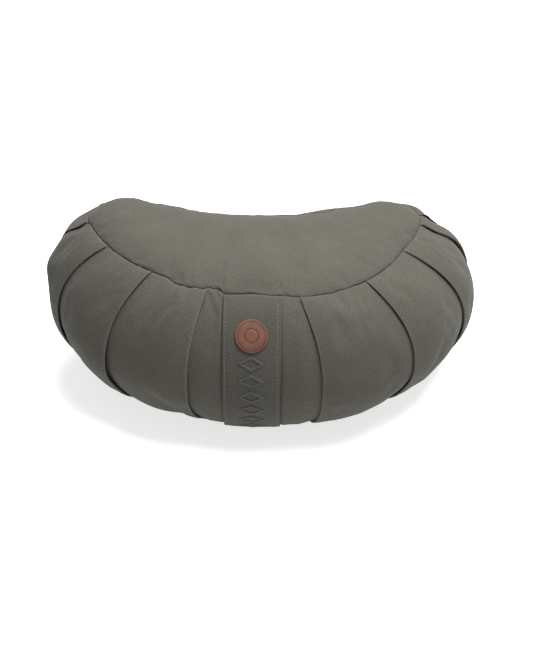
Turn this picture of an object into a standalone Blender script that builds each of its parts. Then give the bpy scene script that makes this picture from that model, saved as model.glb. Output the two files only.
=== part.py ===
"""A crescent meditation cushion: a filled cotton cushion with a knife-pleated side, a sewn-on front band
and a round leather patch. Run it with: blender --background --python part.py

The cover is made the way a sewer makes it. One long strip of cloth is pleated, closed into a ring and
sewn round a crescent top panel and a crescent bottom panel, so here a flat grid is the strip with the
outer part of both panels, and every point of it is moved to where the filling pushes it.
Metres, +Z up. The front (the long curve, with the band) faces -Y, and the hollow back faces +Y.
"""

import math

import bmesh
import bpy
from mathutils import Vector

# The seam line seen from above: a long front arc, a small arc round each tip, a hollow back arc.
FRONT_RADIUS = 0.177
TIP_RADIUS = 0.037
TIP_X = 0.136
TIP_Y = 0.002
BACK_MIDDLE_Y = 0.010

# The side seen from its end: an elliptic arc from the bottom seam, out round the belly, to the top seam.
WALL_RISE = 0.0862
WALL_REACH = 0.0890
SEAM_ANGLE = math.radians(63.8)
BOTTOM_SEAM_HEIGHT = 0.013
SEAM_GROOVE = 0.0013

# How the filling has settled: the reach of the belly round the cushion, and the lean of the whole top.
REACH_TO_RIGHT = 0.10
REACH_TO_FRONT = 0.03
REACH_AT_SIDES = 0.10
REACH_LOST_BEHIND = 0.18
BEHIND_FROM_Y = -0.010
BEHIND_OVER = 0.035
DROP_TO_RIGHT = 0.125
RISE_TO_BACK = 0.24
SETTLE_CENTRE = Vector((0.0, -0.07))

# Crowned top panel and pressed-flat bottom panel. Each row: share of the way from seam to spine, height.
TOP_CROWN = ((0.05, 0.0012), (0.12, 0.0033), (0.24, 0.0062), (0.42, 0.0088), (0.62, 0.0103), (0.82, 0.0110))
BOTTOM_UNDER = ((0.05, 0.0085), (0.13, 0.0042), (0.22, 0.0012), (0.30, 0.0))

# Knife pleats, front to back. Each row: place along the top seam, place at the belly, height of the
# folded edge, depth of the gap under it, how far the sewing pushed the top seam out here, panel steps
# before it.
PLEATS_RIGHT = (
    (0.040, 0.050, 0.0034, 0.0070, 0.0045, 5),
    (0.110, 0.127, 0.0038, 0.0075, 0.0045, 7),
    (0.180, 0.199, 0.0040, 0.0080, -0.0040, 7),
    (0.242, 0.255, 0.0060, 0.0070, -0.0015, 6),
    (0.275, 0.277, 0.0036, 0.0045, 0.0010, 5),
    (0.302, 0.302, 0.0028, 0.0040, 0.0, 4),
    (0.327, 0.326, 0.0026, 0.0040, 0.0, 4),
    (0.354, 0.352, 0.0024, 0.0050, 0.0, 4),
)
PLEATS_LEFT = (
    (0.049, 0.055, 0.0036, 0.0070, -0.0035, 5),
    (0.114, 0.126, 0.0040, 0.0080, -0.0055, 7),
    (0.181, 0.201, 0.0038, 0.0080, -0.0010, 7),
    (0.241, 0.249, 0.0060, 0.0060, 0.0045, 6),
    (0.273, 0.275, 0.0034, 0.0045, 0.0010, 5),
    (0.299, 0.300, 0.0028, 0.0040, 0.0, 4),
    (0.325, 0.325, 0.0026, 0.0040, 0.0, 4),
    (0.352, 0.350, 0.0024, 0.0050, 0.0, 4),
)
BACK_STEPS = 9
SWING_BELOW = 0.25
OPENING_ROUND = 7
EDGE_FALL = 1.5

# One fold of a pleat, in the order of the cloth. Each row: place along the unfolded seam in fold
# depths, place along the finished fold in fold depths, share of the folded edge's height.
FOLD = (
    (-0.18, 0.00, 0.00),
    (-0.11, 1.00, 0.04),
    (-0.04, 1.00, 0.34),
    (0.04, -0.06, 0.36),
    (0.11, -0.16, 0.68),
    (0.18, 0.12, 1.00),
)
PANEL_PUFF = 0.0024
FRONT_PANEL_FLAT = 4
FULL_PANEL_WIDTH = 0.070
GATHER_MARGIN = 0.02

# Heights of the strip's rows, as angles up the side from the belly.
WALL_ANGLES = (60.5, 55, 48, 40, 32, 24, 15, 5, -6, -17, -28, -39, -49, -56.5, -61.5)

# The band down the front and the patch sewn on it.
BAND_WIDTH = 0.0545
BAND_MIDDLE = -0.0045
BAND_THICKNESS = 0.0018
BAND_STEPS = 6
PATCH_RADIUS = 0.0160
PATCH_THICKNESS = 0.0016
PATCH_ANGLE = math.radians(36.5)
PATCH_SEGMENTS = 32
PATCH_RINGS = 3
PATCH_EDGE_ROUND = 0.0004
PATCH_EDGE_ANGLE = math.radians(60)
CLEARANCE = 0.0003

WELD_DISTANCE = 1e-6
SHARP_ANGLE = math.radians(50)
NAME = "crescent_cushion"


def mix(a, b, share):
    return a + (b - a) * share


def seam_arcs():
    """The right half of the seam line, front to back: (centre, signed radius, first and last facing).

    A facing is the angle of the outward normal from -Y towards +X. The hollow back has a negative radius."""
    front_y = TIP_Y + math.sqrt((FRONT_RADIUS - TIP_RADIUS) ** 2 - TIP_X**2)
    dip = BACK_MIDDLE_Y - TIP_Y
    back_radius = (TIP_RADIUS**2 - TIP_X**2 - dip**2) / (2 * (dip - TIP_RADIUS))
    back_y = BACK_MIDDLE_Y + back_radius
    front_end = math.atan2(TIP_X, front_y - TIP_Y)
    tip_end = math.pi + math.atan2(TIP_X, back_y - TIP_Y)
    return (
        (Vector((0, front_y)), FRONT_RADIUS, 0.0, front_end),
        (Vector((TIP_X, TIP_Y)), TIP_RADIUS, front_end, tip_end),
        (Vector((0, back_y)), -back_radius, tip_end, math.pi),
    )


ARCS = seam_arcs()
HALF_SEAM = sum(abs(radius * (last - first)) for _, radius, first, last in ARCS)


def seam_point(s):
    """(point, outward normal, share of the way round its arc, arc number) at s along the seam.

    s is 0 at the front middle, positive to the right, and HALF_SEAM at the back middle."""
    side = -1.0 if s < 0 else 1.0
    left = min(abs(s), HALF_SEAM)
    for number, (centre, radius, first, last) in enumerate(ARCS):
        length = abs(radius * (last - first))
        if left <= length or number == len(ARCS) - 1:
            break
        left -= length
    share = left / length
    facing = mix(first, last, share)
    normal = Vector((math.sin(facing), -math.cos(facing)))
    point = centre + radius * normal
    return Vector((side * point.x, point.y)), Vector((side * normal.x, normal.y)), share, number


def spine_point(s):
    """The point of the crescent's curved middle line that faces s along the seam."""
    middle_y = (ARCS[0][0].y - FRONT_RADIUS + BACK_MIDDLE_Y) / 2
    rise = TIP_Y - middle_y
    radius = (TIP_X**2 + rise**2) / (2 * rise)
    span = math.atan2(TIP_X, radius - rise)
    _, _, share, number = seam_point(s)
    angle = span * (share, 1.0, 1.0 - share)[number]
    side = -1.0 if s < 0 else 1.0
    return Vector((side * radius * math.sin(angle), middle_y + radius * (1 - math.cos(angle))))


def fullness(foot):
    """How far the belly reaches here, against the even cushion."""
    away = foot - SETTLE_CENTRE
    facing = math.atan2(away.x, -away.y)
    behind = min(1.0, max(0.0, (foot.y - BEHIND_FROM_Y) / BEHIND_OVER))
    return (
        1
        + REACH_TO_RIGHT * math.sin(facing)
        + REACH_TO_FRONT * math.cos(facing)
        - REACH_AT_SIDES * math.cos(2 * facing)
        - REACH_LOST_BEHIND * behind**2 * (3 - 2 * behind)
    )


def settle(foot):
    """How high the cushion stands here, against the even cushion."""
    return 1 - DROP_TO_RIGHT * foot.x + RISE_TO_BACK * (foot.y - SETTLE_CENTRE.y)


def seam_push(s):
    """How far the sewing pushed the top seam out at s: from pleat to pleat, in straight lines."""
    pleats = PLEATS_LEFT if s < 0 else PLEATS_RIGHT
    start, push_start = 0.0, 0.0
    for at_seam, _, _, _, push, _ in pleats:
        if abs(s) <= at_seam:
            return mix(push_start, push, (abs(s) - start) / (at_seam - start))
        start, push_start = at_seam, push
    return push_start


def wall_point(s, angle, out=0.0):
    """A point of the side: s along the seam, angle up the side from the belly, out beyond it."""
    foot, normal, _, _ = seam_point(s)
    foot = foot + normal * seam_push(s) * max(0.0, math.sin(angle) / math.sin(SEAM_ANGLE)) ** 2
    reach = WALL_REACH * (math.cos(angle) - math.cos(SEAM_ANGLE)) * fullness(foot)
    rise = WALL_RISE * (math.sin(angle) + math.sin(SEAM_ANGLE)) * settle(foot)
    flat = foot + normal * (reach + out * math.cos(angle))
    return Vector((flat.x, flat.y, BOTTOM_SEAM_HEIGHT + rise + out * math.sin(angle)))


def opening(angle):
    """How far a pleat has opened from the seams: 0 at a seam, 1 over most of the side."""
    share = min(1.0, abs(angle) / SEAM_ANGLE)
    return math.sqrt(1 - share**OPENING_ROUND)


def swing(angle):
    """How far a fold line has moved from its place at the top seam: 1 at the belly, a little more below."""
    down = (SEAM_ANGLE - angle) / SEAM_ANGLE
    return math.sin(min(1.0, down) * math.pi / 2) + SWING_BELOW * max(0.0, down - 1)


def front_puff(s, pleats, angle):
    """How far the panel under the band stands out: it is flat across, and drops to the first fold."""
    fold = mix(pleats[0][0], pleats[0][1], swing(angle))
    return opening(angle) * PANEL_PUFF * (1 - min(1.0, abs(s) / fold) ** FRONT_PANEL_FLAT)


def half_strip(pleats, angle):
    """(s, out) of each column on one half of the strip at this height, front middle to back middle."""
    open_now = opening(angle)
    columns = []
    before, edge_before = 0.0, 0.0
    for at_seam, at_belly, edge, depth, _, steps in pleats:
        fold = mix(at_seam, at_belly, swing(angle))
        first, last = fold + depth * mix(FOLD[0][0], FOLD[0][1], open_now), before
        puff = PANEL_PUFF * min(1.0, at_seam / FULL_PANEL_WIDTH)
        for step in range(steps):
            share = step / steps
            s = mix(last, first, share)
            if edge_before:
                crown = puff * (1 - (2 * share - 1) ** 2)
                out = open_now * (edge_before * (1 - share) ** EDGE_FALL + crown)
            else:
                out = front_puff(s, pleats, angle)
            columns.append((s, out))
        for flat, folded, height in FOLD:
            columns.append((fold + depth * mix(flat, folded, open_now), open_now * edge * height))
        before, edge_before = columns[-1][0], edge
        columns.pop()
    for step in range(BACK_STEPS + 1):
        share = step / BACK_STEPS
        crown = PANEL_PUFF * math.sin(share * math.pi / 2)
        columns.append((mix(before, HALF_SEAM, share), open_now * (edge_before * (1 - share) ** 2 + crown)))
    return columns


def strip(angle):
    """(s, out) of every column at this height, once round the cushion from the front middle."""
    right = half_strip(PLEATS_RIGHT, angle)
    left = [(-s, out) for s, out in half_strip(PLEATS_LEFT, angle)]
    return right + left[-2::-1]


def panel_row(angle, share, height):
    """One ring of the panel inside a seam: a share of the way from the seam to the spine, and its height."""
    row = []
    for s, _ in gathered(strip(angle)):
        foot = wall_point(s, angle).to_2d()
        flat = foot.lerp(spine_point(s), share)
        row.append(Vector((flat.x, flat.y, height(foot))))
    return row


def gathered(columns):
    """The same columns, with those of each fold drawn together where the panel holds them."""
    row = list(columns)
    for pleats, sign in ((PLEATS_RIGHT, 1), (PLEATS_LEFT, -1)):
        for at_seam, _, _, depth, _, _ in pleats:
            near = depth * (FOLD[-1][0] + GATHER_MARGIN)
            row = [(sign * at_seam, o) if abs(s - sign * at_seam) <= near else (s, o) for s, o in row]
    return row


def seam_row(angle):
    """The strip's edge, pulled in and down into the groove of the seam."""
    return [wall_point(s, angle, -SEAM_GROOVE) for s, _ in strip(angle)]


def cover_rows():
    """Every row of the cover, from the middle of the top panel, over the side, to the floor."""
    rise = 2 * WALL_RISE * math.sin(SEAM_ANGLE)
    rows = []
    for share, crown in reversed(TOP_CROWN):
        rows.append(panel_row(SEAM_ANGLE, share, lambda foot: BOTTOM_SEAM_HEIGHT + rise * settle(foot) + crown))
    rows.append(seam_row(SEAM_ANGLE))
    for degrees in WALL_ANGLES:
        angle = math.radians(degrees)
        rows.append([wall_point(s, angle, out) for s, out in strip(angle)])
    rows.append(seam_row(-SEAM_ANGLE))
    for share, clear in BOTTOM_UNDER:
        rows.append(panel_row(-SEAM_ANGLE, share, lambda foot: clear))
    return rows


def grid_from(rows):
    """A bmesh grid whose points lie where the rows say, welded where they meet."""
    bm = bmesh.new()
    bmesh.ops.create_grid(bm, x_segments=len(rows[0]) - 1, y_segments=len(rows) - 1, size=1)
    for vertex, place in zip(bm.verts, (place for row in rows for place in row)):
        vertex.co = place
    bmesh.ops.remove_doubles(bm, verts=bm.verts, dist=WELD_DISTANCE)
    return bm


def finish(name, colour, roughness):
    material = bpy.data.materials.new(name)
    material.use_nodes = True
    shader = material.node_tree.nodes["Principled BSDF"]
    shader.inputs["Base Color"].default_value = (*colour, 1)
    shader.inputs["Roughness"].default_value = roughness
    shader.inputs["Metallic"].default_value = 0
    return material


def add_object(name, bm, material):
    """Puts a finished bmesh in the cushion's collection as a smooth-shaded object."""
    mesh = bpy.data.meshes.new(name)
    bm.to_mesh(mesh)
    bm.free()
    mesh.materials.append(material)
    mesh.shade_smooth()
    mesh.set_sharp_from_angle(angle=SHARP_ANGLE)
    piece = bpy.data.objects.new(name, mesh)
    bpy.data.collections[NAME].objects.link(piece)
    return piece


def make_cushion(material):
    """The filled cushion, one closed solid with its crown, seams and pleats."""
    bm = grid_from(cover_rows())
    bmesh.ops.holes_fill(bm, edges=bm.edges)
    bmesh.ops.triangulate(bm, faces=[face for face in bm.faces if len(face.verts) > 4])
    bmesh.ops.recalc_face_normals(bm, faces=bm.faces)
    return add_object("cushion", bm, material)


def sewn_on(name, rows, thickness, material):
    """A piece of cloth or leather that lies on the front: a sheet through the rows, thickened outward."""
    bm = grid_from(rows)
    bm.normal_update()
    if sum(face.normal.y * face.calc_area() for face in bm.faces) > 0:
        bmesh.ops.reverse_faces(bm, faces=bm.faces)
    piece = add_object(name, bm, material)
    solid = piece.modifiers.new("thickness", "SOLIDIFY")
    solid.thickness = thickness
    solid.offset = 1
    return piece


def make_band(material):
    """The band with its turned-in edges, from the top seam to the bottom seam."""
    rows = []
    for degrees in WALL_ANGLES:
        angle = math.radians(degrees)
        reach = WALL_REACH * (math.cos(angle) - math.cos(SEAM_ANGLE))
        half = BAND_WIDTH / 2 / (1 + reach / FRONT_RADIUS)
        row = []
        for step in range(BAND_STEPS + 1):
            s = BAND_MIDDLE + mix(-half, half, step / BAND_STEPS)
            pleats = PLEATS_LEFT if s < 0 else PLEATS_RIGHT
            row.append(wall_point(s, angle, front_puff(s, pleats, angle) + CLEARANCE))
        rows.append(row)
    return sewn_on("front_band", rows, BAND_THICKNESS, material)


def make_patch(material):
    """The round patch: a leather disc bent to the band, as rings about its middle."""
    out = PANEL_PUFF + BAND_THICKNESS + 2 * CLEARANCE
    reach = WALL_REACH * (math.cos(PATCH_ANGLE) - math.cos(SEAM_ANGLE))
    along_scale = 1 + reach / FRONT_RADIUS
    rows = []
    for ring in range(PATCH_RINGS + 1):
        radius = PATCH_RADIUS * ring / PATCH_RINGS
        row = []
        for segment in range(PATCH_SEGMENTS + 1):
            turn = 2 * math.pi * segment / PATCH_SEGMENTS
            angle = PATCH_ANGLE + radius * math.sin(turn) / WALL_RISE
            s = BAND_MIDDLE + radius * math.cos(turn) / along_scale
            row.append(wall_point(s, angle, out))
        rows.append(row)
    piece = sewn_on("leather_patch", rows, PATCH_THICKNESS, material)
    rounding = piece.modifiers.new("rounding", "BEVEL")
    rounding.width = PATCH_EDGE_ROUND
    rounding.segments = 1
    rounding.limit_method = "ANGLE"
    rounding.angle_limit = PATCH_EDGE_ANGLE
    return piece


def stand_on_origin(pieces):
    """Moves the finished cushion so that the origin is under the middle of its box, on the floor."""
    graph = bpy.context.evaluated_depsgraph_get()
    corners = [Vector(corner) for piece in pieces for corner in piece.evaluated_get(graph).bound_box]
    middle_x = (min(c.x for c in corners) + max(c.x for c in corners)) / 2
    middle_y = (min(c.y for c in corners) + max(c.y for c in corners)) / 2
    lowest = min(c.z for c in corners)
    for piece in pieces:
        piece.location = (-middle_x, -middle_y, -lowest)


def main():
    for old in list(bpy.data.objects):
        bpy.data.objects.remove(old)
    collection = bpy.data.collections.new(NAME)
    bpy.context.scene.collection.children.link(collection)
    cotton = finish("cotton_twill", (0.135, 0.130, 0.110), 0.9)
    band_cotton = finish("cotton_twill_band", (0.110, 0.106, 0.090), 0.9)
    leather = finish("tan_leather", (0.190, 0.085, 0.060), 0.6)
    pieces = [make_cushion(cotton), make_band(band_cotton), make_patch(leather)]
    bpy.context.view_layer.update()
    stand_on_origin(pieces)


main()
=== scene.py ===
# %% [markdown]
# # A crescent meditation cushion
#
# The real object is a floor seat about 45 cm across: a cotton cover filled with loose husk. A crescent
# top and a crescent bottom are joined by one long strip that is folded into knife pleats. A strip of the
# same twill is sewn down the middle of the front, and a round leather patch is sewn on that.
#
# The lesson dresses a plain solid of the cushion, which is loaded first. Lengths are metres, except in
# the tables that say millimetres.

# %% Load the solid
import math
from itertools import accumulate

import bmesh
import bpy
from mathutils import Matrix, Vector, noise


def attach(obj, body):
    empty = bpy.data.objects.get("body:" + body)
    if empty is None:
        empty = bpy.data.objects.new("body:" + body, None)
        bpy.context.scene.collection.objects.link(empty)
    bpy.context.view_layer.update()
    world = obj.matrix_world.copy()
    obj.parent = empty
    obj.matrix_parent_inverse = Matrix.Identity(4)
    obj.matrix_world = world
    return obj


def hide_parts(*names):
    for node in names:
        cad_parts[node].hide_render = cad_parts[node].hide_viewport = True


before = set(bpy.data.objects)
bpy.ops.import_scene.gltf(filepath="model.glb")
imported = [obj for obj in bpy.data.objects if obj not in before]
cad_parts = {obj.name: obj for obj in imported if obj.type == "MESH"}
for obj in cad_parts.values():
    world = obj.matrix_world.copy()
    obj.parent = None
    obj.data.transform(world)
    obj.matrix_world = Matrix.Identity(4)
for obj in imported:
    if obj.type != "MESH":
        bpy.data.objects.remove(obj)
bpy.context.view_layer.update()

# %% [markdown]
# ## The seam line
#
# Sewers draw a crescent with four arcs that meet without a corner: a long one in front, a small one
# round each tip and a hollow one behind. Walking along them by a length `s` gives every point of the
# top seam, and the direction that faces out of the cushion there. `s` is 0 at the front middle, positive
# to the right, and `HALF_SEAM` at the back middle.

# %% Arcs of the crescent
FRONT_RADIUS = 0.177
TIP_RADIUS = 0.037
TIP_X = 0.136
TIP_Y = 0.002
BACK_MIDDLE_Y = 0.010
PATTERN_ORIGIN = Vector((-0.0046, 0.0532))


def mix(a, b, share):
    return a + (b - a) * share


def smooth(share):
    share = min(1.0, max(0.0, share))
    return share * share * (3 - 2 * share)


def seam_arcs():
    """Centre, signed radius, first and last facing of each arc of the right half."""
    front_y = TIP_Y + math.sqrt((FRONT_RADIUS - TIP_RADIUS) ** 2 - TIP_X**2)
    dip = BACK_MIDDLE_Y - TIP_Y
    back_radius = (TIP_RADIUS**2 - TIP_X**2 - dip**2) / (2 * (dip - TIP_RADIUS))
    back_y = BACK_MIDDLE_Y + back_radius
    front_end = math.atan2(TIP_X, front_y - TIP_Y)
    tip_end = math.pi + math.atan2(TIP_X, back_y - TIP_Y)
    return (
        (Vector((0, front_y)), FRONT_RADIUS, 0.0, front_end),
        (Vector((TIP_X, TIP_Y)), TIP_RADIUS, front_end, tip_end),
        (Vector((0, back_y)), -back_radius, tip_end, math.pi),
    )


ARCS = seam_arcs()
HALF_SEAM = sum(abs(radius * (last - first)) for _, radius, first, last in ARCS)


def seam_point(s):
    """Point, outward normal, share of the way round its arc, arc number."""
    side = -1.0 if s < 0 else 1.0
    left = min(abs(s), HALF_SEAM)
    for number, (centre, radius, first, last) in enumerate(ARCS):
        length = abs(radius * (last - first))
        if left <= length or number == len(ARCS) - 1:
            break
        left -= length
    share = left / length
    facing = mix(first, last, share)
    normal = Vector((math.sin(facing), -math.cos(facing)))
    point = centre + radius * normal
    return Vector((side * point.x, point.y)), Vector((side * normal.x, normal.y)), share, number


def spine_point(s):
    """The point of the crescent's curved middle line that faces s."""
    middle_y = (ARCS[0][0].y - FRONT_RADIUS + BACK_MIDDLE_Y) / 2
    rise = TIP_Y - middle_y
    radius = (TIP_X**2 + rise**2) / (2 * rise)
    span = math.atan2(TIP_X, radius - rise)
    _, _, share, number = seam_point(s)
    angle = span * (share, 1.0, 1.0 - share)[number]
    side = -1.0 if s < 0 else 1.0
    return Vector((side * radius * math.sin(angle), middle_y + radius * (1 - math.cos(angle))))


print("seam line", round(2 * HALF_SEAM, 3), "m round")

# %% [markdown]
# ## The pleats
#
# A knife pleat is a flat fold that lies to one side. Here each fold's edge faces the front middle, and
# the cloth goes back under it. The cut through one is an S, listed once below and used for all of them.
# Every pleat starts flat in the seam and opens down the side, where the filling pushes.

# %% Pleats, front to back
# Each row: place along the top seam, place at the belly, height of the folded edge, depth of the slot
# under it, steps of cloth before it.
PLEATS_RIGHT = (
    (0.040, 0.050, 0.0034, 0.0070, 9),
    (0.110, 0.127, 0.0036, 0.0075, 15),
    (0.180, 0.199, 0.0038, 0.0080, 15),
    (0.240, 0.250, 0.0045, 0.0070, 13),
    (0.2575, 0.268, 0.0024, 0.0016, 5),
    (0.296, 0.298, 0.0028, 0.0040, 6),
    (0.325, 0.324, 0.0026, 0.0040, 6),
    (0.354, 0.352, 0.0024, 0.0050, 6),
)
PLEATS_LEFT = (
    (0.049, 0.055, 0.0036, 0.0070, 10),
    (0.114, 0.1275, 0.0038, 0.0080, 14),
    (0.181, 0.201, 0.0036, 0.0080, 15),
    (0.235, 0.252, 0.0048, 0.0055, 13),
    (0.273, 0.279, 0.0026, 0.0030, 6),
    (0.299, 0.300, 0.0022, 0.0026, 5),
    (0.325, 0.325, 0.0026, 0.0040, 5),
    (0.352, 0.350, 0.0024, 0.0050, 5),
)
# A pleat is sewn down in a short straight run, so the seam is not one even curve. Each pair, in
# millimetres: place along the seam, how far the seam lies outside the drawn arcs there.
SEAM_RIGHT = (
    (0, -4.5), (7, -3.9), (16, -0.8), (24, -1.1), (32, 1.5), (38, 4.8), (72, 6.2), (90, 4.8), (109, 4.5),
    (134, 1.9), (181, -4.2), (208, -3.8), (244, -1.8), (250, -0.3), (262, 0.3), (272, 1.2), (290, 1.0),
    (320, 0),
)
SEAM_LEFT = (
    (0, -4.5), (7, -5.0), (29, -1.5), (33, -2.0), (37, -6.0), (47, -8.0), (53, -4.5), (63, -2.4), (75, -0.2),
    (87, -3.1), (99, -6.5), (119, -6.1), (144, -3.6), (183, -1.3), (206, 0.2), (225, 1.8), (240, 4.3),
    (252, 3.2), (275, 1.0), (300, 0),
)
BACK_STEPS = 18
FIRST_BEHIND = 5
SWING_BELOW = 0.25

# One fold, in the order of the cloth. Each row: place along the flat seam in slot depths, place along
# the finished fold in slot depths, share of the edge's height, how far it is held by its neighbours.
FOLD = (
    (-0.20, 0.00, 0.00, 1.0),
    (-0.15, 0.50, 0.02, 1.0),
    (-0.10, 1.00, 0.05, 1.0),
    (-0.05, 1.00, 0.30, 1.0),
    (0.00, 0.45, 0.33, 1.0),
    (0.05, -0.06, 0.36, 1.0),
    (0.10, -0.15, 0.50, 1.0),
    (0.14, -0.16, 0.72, 0.9),
    (0.18, -0.08, 0.92, 0.8),
    (0.22, 0.12, 1.00, 0.6),
)
# The rows up to this one lie inside the slot, and the two with these holds are the folded edge itself.
INSIDE_COLUMNS = 4
EDGE_HOLDS = (0.9, 0.8)


def seam_push(s):
    """How far the sewing pushed the top seam out at s, in metres: straight from place to place."""
    places = SEAM_LEFT if s < 0 else SEAM_RIGHT
    away = abs(s) * 1000
    for (start, push_start), (end, push_end) in zip(places, places[1:]):
        if away <= end:
            return mix(push_start, push_end, (away - start) / (end - start)) / 1000
    return places[-1][1] / 1000


print("pleats:", len(PLEATS_RIGHT), "on the right,", len(PLEATS_LEFT), "on the left")

# %% [markdown]
# ## The side
#
# Seen from its end, the side is part of an ellipse: out from the bottom seam, round the belly, back to
# the top seam. An angle from the belly says how far up the side a point is. The husk has settled, so
# the belly is fuller in some places and the top leans a little, as on any cushion that has been sat on.

# %% Side of the cushion
WALL_RISE = 0.0862
WALL_REACH = 0.0890
SEAM_ANGLE = math.radians(63.8)
BOTTOM_SEAM_HEIGHT = 0.013
LENGTH_STEPS = 24
SETTLE_CENTRE = Vector((0.0, -0.07))
FULLER_RIGHT = 0.10
FULLER_FRONT = 0.03
FULLER_TIPS = 0.10
# Behind, the belly is flatter by this share, from one place to another along y.
FLATTER_BEHIND = 0.18
HOLLOW_START = -0.010
HOLLOW_RUN = 0.035
# The top's slope: down to the right, up to the back.
SLOPE_RIGHT = 0.125
SLOPE_BACK = 0.24


def fullness(foot):
    """How far the belly reaches here, against the even cushion."""
    away = foot - SETTLE_CENTRE
    facing = math.atan2(away.x, -away.y)
    lean = FULLER_RIGHT * math.sin(facing)
    even = 1 + lean + FULLER_FRONT * math.cos(facing) - FULLER_TIPS * math.cos(2 * facing)
    return even - FLATTER_BEHIND * smooth((foot.y - HOLLOW_START) / HOLLOW_RUN)


def settle(foot):
    """How high the cushion stands here, against the even cushion."""
    return 1 - SLOPE_RIGHT * foot.x + SLOPE_BACK * (foot.y - SETTLE_CENTRE.y)


def wall_point(s, angle, out=0.0):
    """A point of the side: s along the seam, angle up from the belly, out beyond the cloth's own line."""
    foot, normal, _, _ = seam_point(s)
    foot = foot + normal * seam_push(s) * max(0.0, math.sin(angle) / math.sin(SEAM_ANGLE)) ** 2
    reach = WALL_REACH * (math.cos(angle) - math.cos(SEAM_ANGLE)) * fullness(foot)
    rise = WALL_RISE * (math.sin(angle) + math.sin(SEAM_ANGLE)) * settle(foot)
    flat = foot + normal * (reach + out * math.cos(angle)) + PATTERN_ORIGIN
    return Vector((flat.x, flat.y, BOTTOM_SEAM_HEIGHT + rise + out * math.sin(angle)))


def wall_length(angle):
    """Length of cloth from the top seam down to this angle."""
    length = 0.0
    for i in range(LENGTH_STEPS):
        a = mix(SEAM_ANGLE, angle, (i + 0.5) / LENGTH_STEPS)
        length += math.hypot(WALL_REACH * math.sin(a), WALL_RISE * math.cos(a))
    return length * (SEAM_ANGLE - angle) / LENGTH_STEPS


print("cloth from seam to seam", round(wall_length(-SEAM_ANGLE), 3), "m")

# %% [markdown]
# ## How a pleat opens
#
# `opening` takes a pleat from flat at a seam to full over the side. `swing` moves its fold line along,
# because the strip is longer at the belly than at the seam and the folds lean away from the middle.
# A few folds gape where they were never pressed: those places are listed as gaps.

# %% Opening of the pleats
PANEL_PUFF = 0.0022
BAND_WIDTH = 0.0562
BAND_MIDDLE = -0.0045
PANEL_FULL_FROM = 0.07
BEHIND_OPENS_OVER = math.radians(38)
# The band's stitches pull the cover in beside it. Each: distance from the band's edge, dip there.
EDGE_VALLEY = (
    (-0.0030, 0.0), (-0.0012, 0.0003), (-0.0003, 0.0010), (0.0005, 0.0013), (0.0014, 0.0004), (0.0030, 0.0),
)
BESIDE_BAND_STEPS = 4
# Side, pleat number, angle of the middle of the loose place, its spread, how far the fold's edge lifts
# off the cloth under it, how much thicker the fold is there, or thinner where that is below zero.
LOOSE_FOLDS = (
    (-1, 0, -16, 6, 0.0012, 0.0),
    (-1, 1, -11, 17, 0.0028, 0.0),
    (-1, 2, -24, 14, 0.0007, 0.0),
    (-1, 3, 57, 5, 0.0008, 0.0),
    (-1, 3, 31, 21, 0.0, -0.0043),
    (1, 3, 60, 5, 0.0010, 0.0),
    (1, 3, 33, 8, 0.0006, 0.0),
    (1, 4, 57, 5, 0.0, 0.0028),
)
# Places where the filling stands proud, or has sunk where the height is below zero. Each: side, place
# along the seam, its spread, angle, its spread, height.
SWELLS = (
    (-1, 0.072, 0.026, -44, 20, -0.0048),
    (-1, 0.165, 0.040, -32, 15, -0.0028),
    (-1, 0.238, 0.022, 0, 12, -0.0026),
    (-1, 0.232, 0.012, 22, 8, 0.0050),
    (-1, 0.237, 0.011, 38, 11, 0.0028),
    (-1, 0.246, 0.018, 56, 8, -0.0045),
    (-1, 0.350, 0.028, 50, 12, 0.0032),
    (1, 0.150, 0.030, -28, 12, -0.0028),
    (1, 0.246, 0.020, 54, 10, -0.0040),
    (1, 0.268, 0.014, 58, 7, 0.0040),
    (1, 0.305, 0.022, 58, 6, 0.0022),
    (1, 0.362, 0.030, 50, 12, 0.0040),
)


def opening(angle):
    share = min(1.0, abs(angle) / SEAM_ANGLE)
    return math.sqrt(1 - share**7)


def opening_behind(angle):
    """The folds behind are sewn down further, so none of them stands over the top seam."""
    return opening(angle) * smooth((SEAM_ANGLE - angle) / BEHIND_OPENS_OVER)


def swing(angle):
    down = (SEAM_ANGLE - angle) / SEAM_ANGLE
    return math.sin(min(1.0, down) * math.pi / 2) + SWING_BELOW * max(0.0, down - 1)


def bell(value, middle, spread):
    return math.exp(-(((value - middle) / spread) ** 2))


def looseness(side, number, angle):
    """Lift and extra thickness of a fold at this angle."""
    lift, thicker = 0.0, 0.0
    for where, pleat, middle, spread, gap, extra in LOOSE_FOLDS:
        if (where, pleat) == (side, number):
            share = bell(math.degrees(angle), middle, spread)
            lift += gap * share
            thicker += extra * share
    return lift, thicker


def swell(side, s, angle):
    """How far the filling stands proud here, or has sunk."""
    out = 0.0
    for where, middle, spread, middle_angle, spread_angle, height in SWELLS:
        if where == side:
            here = height * bell(abs(s), middle, spread)
            out += here * bell(math.degrees(angle), middle_angle, spread_angle)
    return out


def front_puff(s, pleats, angle):
    """How far the panel under the band stands out: flat across, and down to the first fold."""
    fold = mix(pleats[0][0], pleats[0][1], swing(angle))
    return opening(angle) * PANEL_PUFF * (1 - min(1.0, abs(s) / fold) ** 4)


def band_edge(side, angle):
    """Place along the seam of the band's edge: the band keeps its width where the cushion swells."""
    reach = WALL_REACH * (math.cos(angle) - math.cos(SEAM_ANGLE))
    return abs(BAND_MIDDLE + side * BAND_WIDTH / 2 / (1 + reach / FRONT_RADIUS))


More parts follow.
